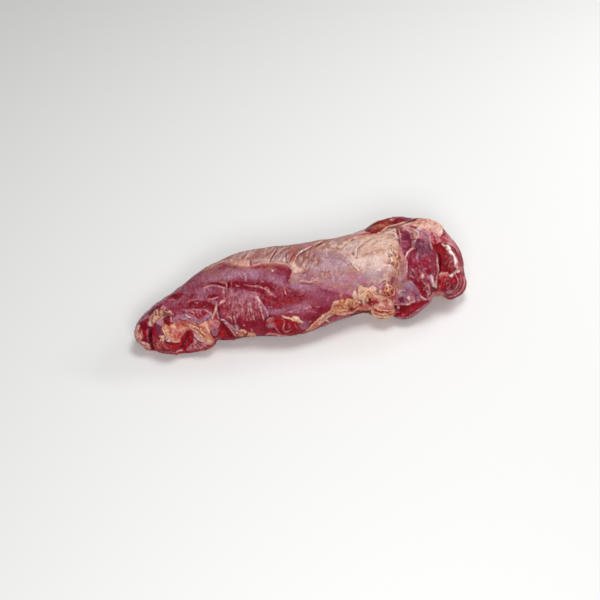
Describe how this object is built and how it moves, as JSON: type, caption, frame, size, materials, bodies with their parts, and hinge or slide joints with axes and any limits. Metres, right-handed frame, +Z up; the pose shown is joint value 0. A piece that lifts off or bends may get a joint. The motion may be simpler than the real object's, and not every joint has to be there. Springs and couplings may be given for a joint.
{
  "type": "beef tenderloin",
  "caption": "Whole raw beef tenderloin lying flat: a long tapering muscle under silverskin, with a thick lobed head, a thin folded tail and patches of fat.",
  "frame": {"origin": "under the middle of the meat's bounding box, on the surface that it rests on", "axes": "+X along the length towards the thick head, +Y across towards the back, +Z up"},
  "size_m": [0.3734, 0.1214, 0.0751],
  "materials": {
    "meat": "wet raw meat, dark red under pale silverskin, with cream fat"
  },
  "bodies": {
    "root": {"tenderloin": "meat"}
  },
  "joints": []
}
